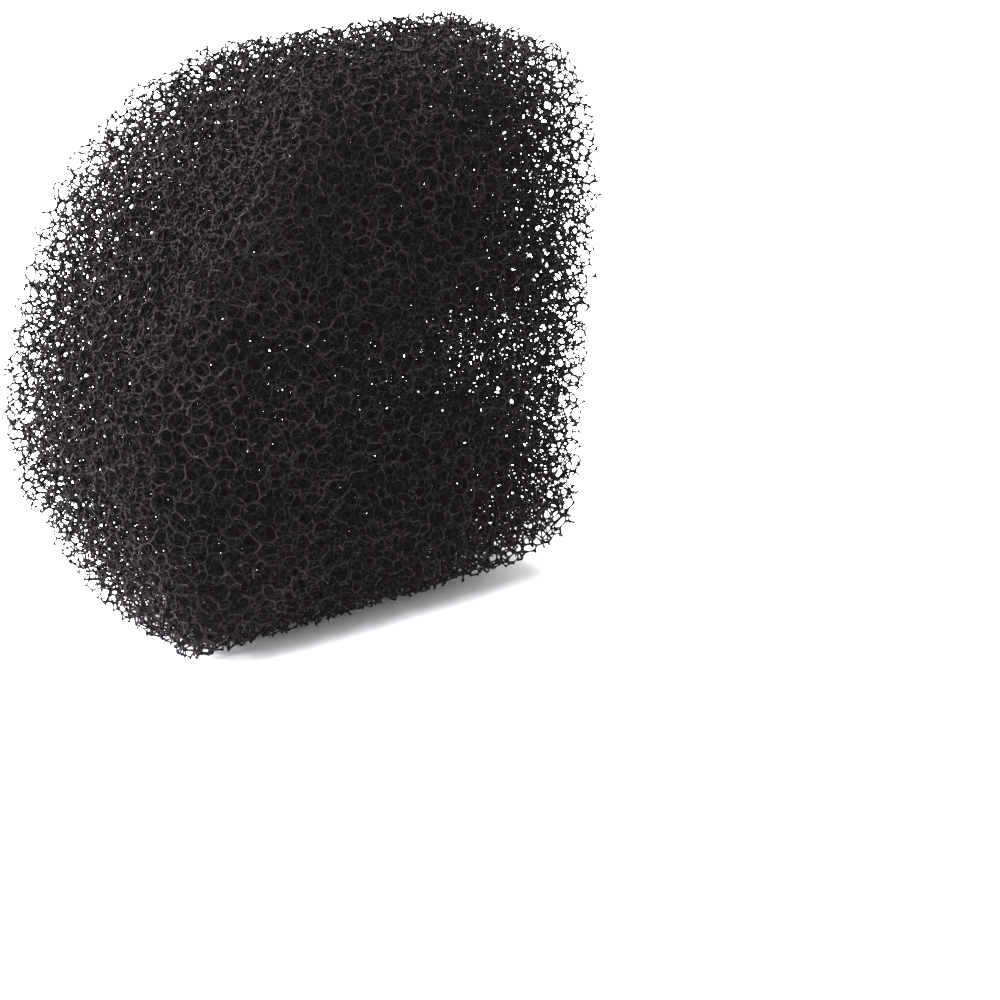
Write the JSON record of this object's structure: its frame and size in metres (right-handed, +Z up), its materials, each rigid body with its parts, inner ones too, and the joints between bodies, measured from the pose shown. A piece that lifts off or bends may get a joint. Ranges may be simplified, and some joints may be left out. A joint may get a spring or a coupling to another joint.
{
  "type": "sponge filter",
  "caption": "Rounded block of coarse open-cell foam with a blind bore in one end, which slips over a pump's intake pipe to strain the water.",
  "frame": {"origin": "bottom centre of the block, on its flat base", "axes": "+Z up, +X along the bore towards its mouth, +Y from the front to the rounded back"},
  "size_m": [0.046, 0.027, 0.05],
  "materials": {
    "foam": "satin charcoal reticulated foam, a net of fine struts"
  },
  "bodies": {
    "root": {"foam_block": "foam"}
  },
  "joints": []
}
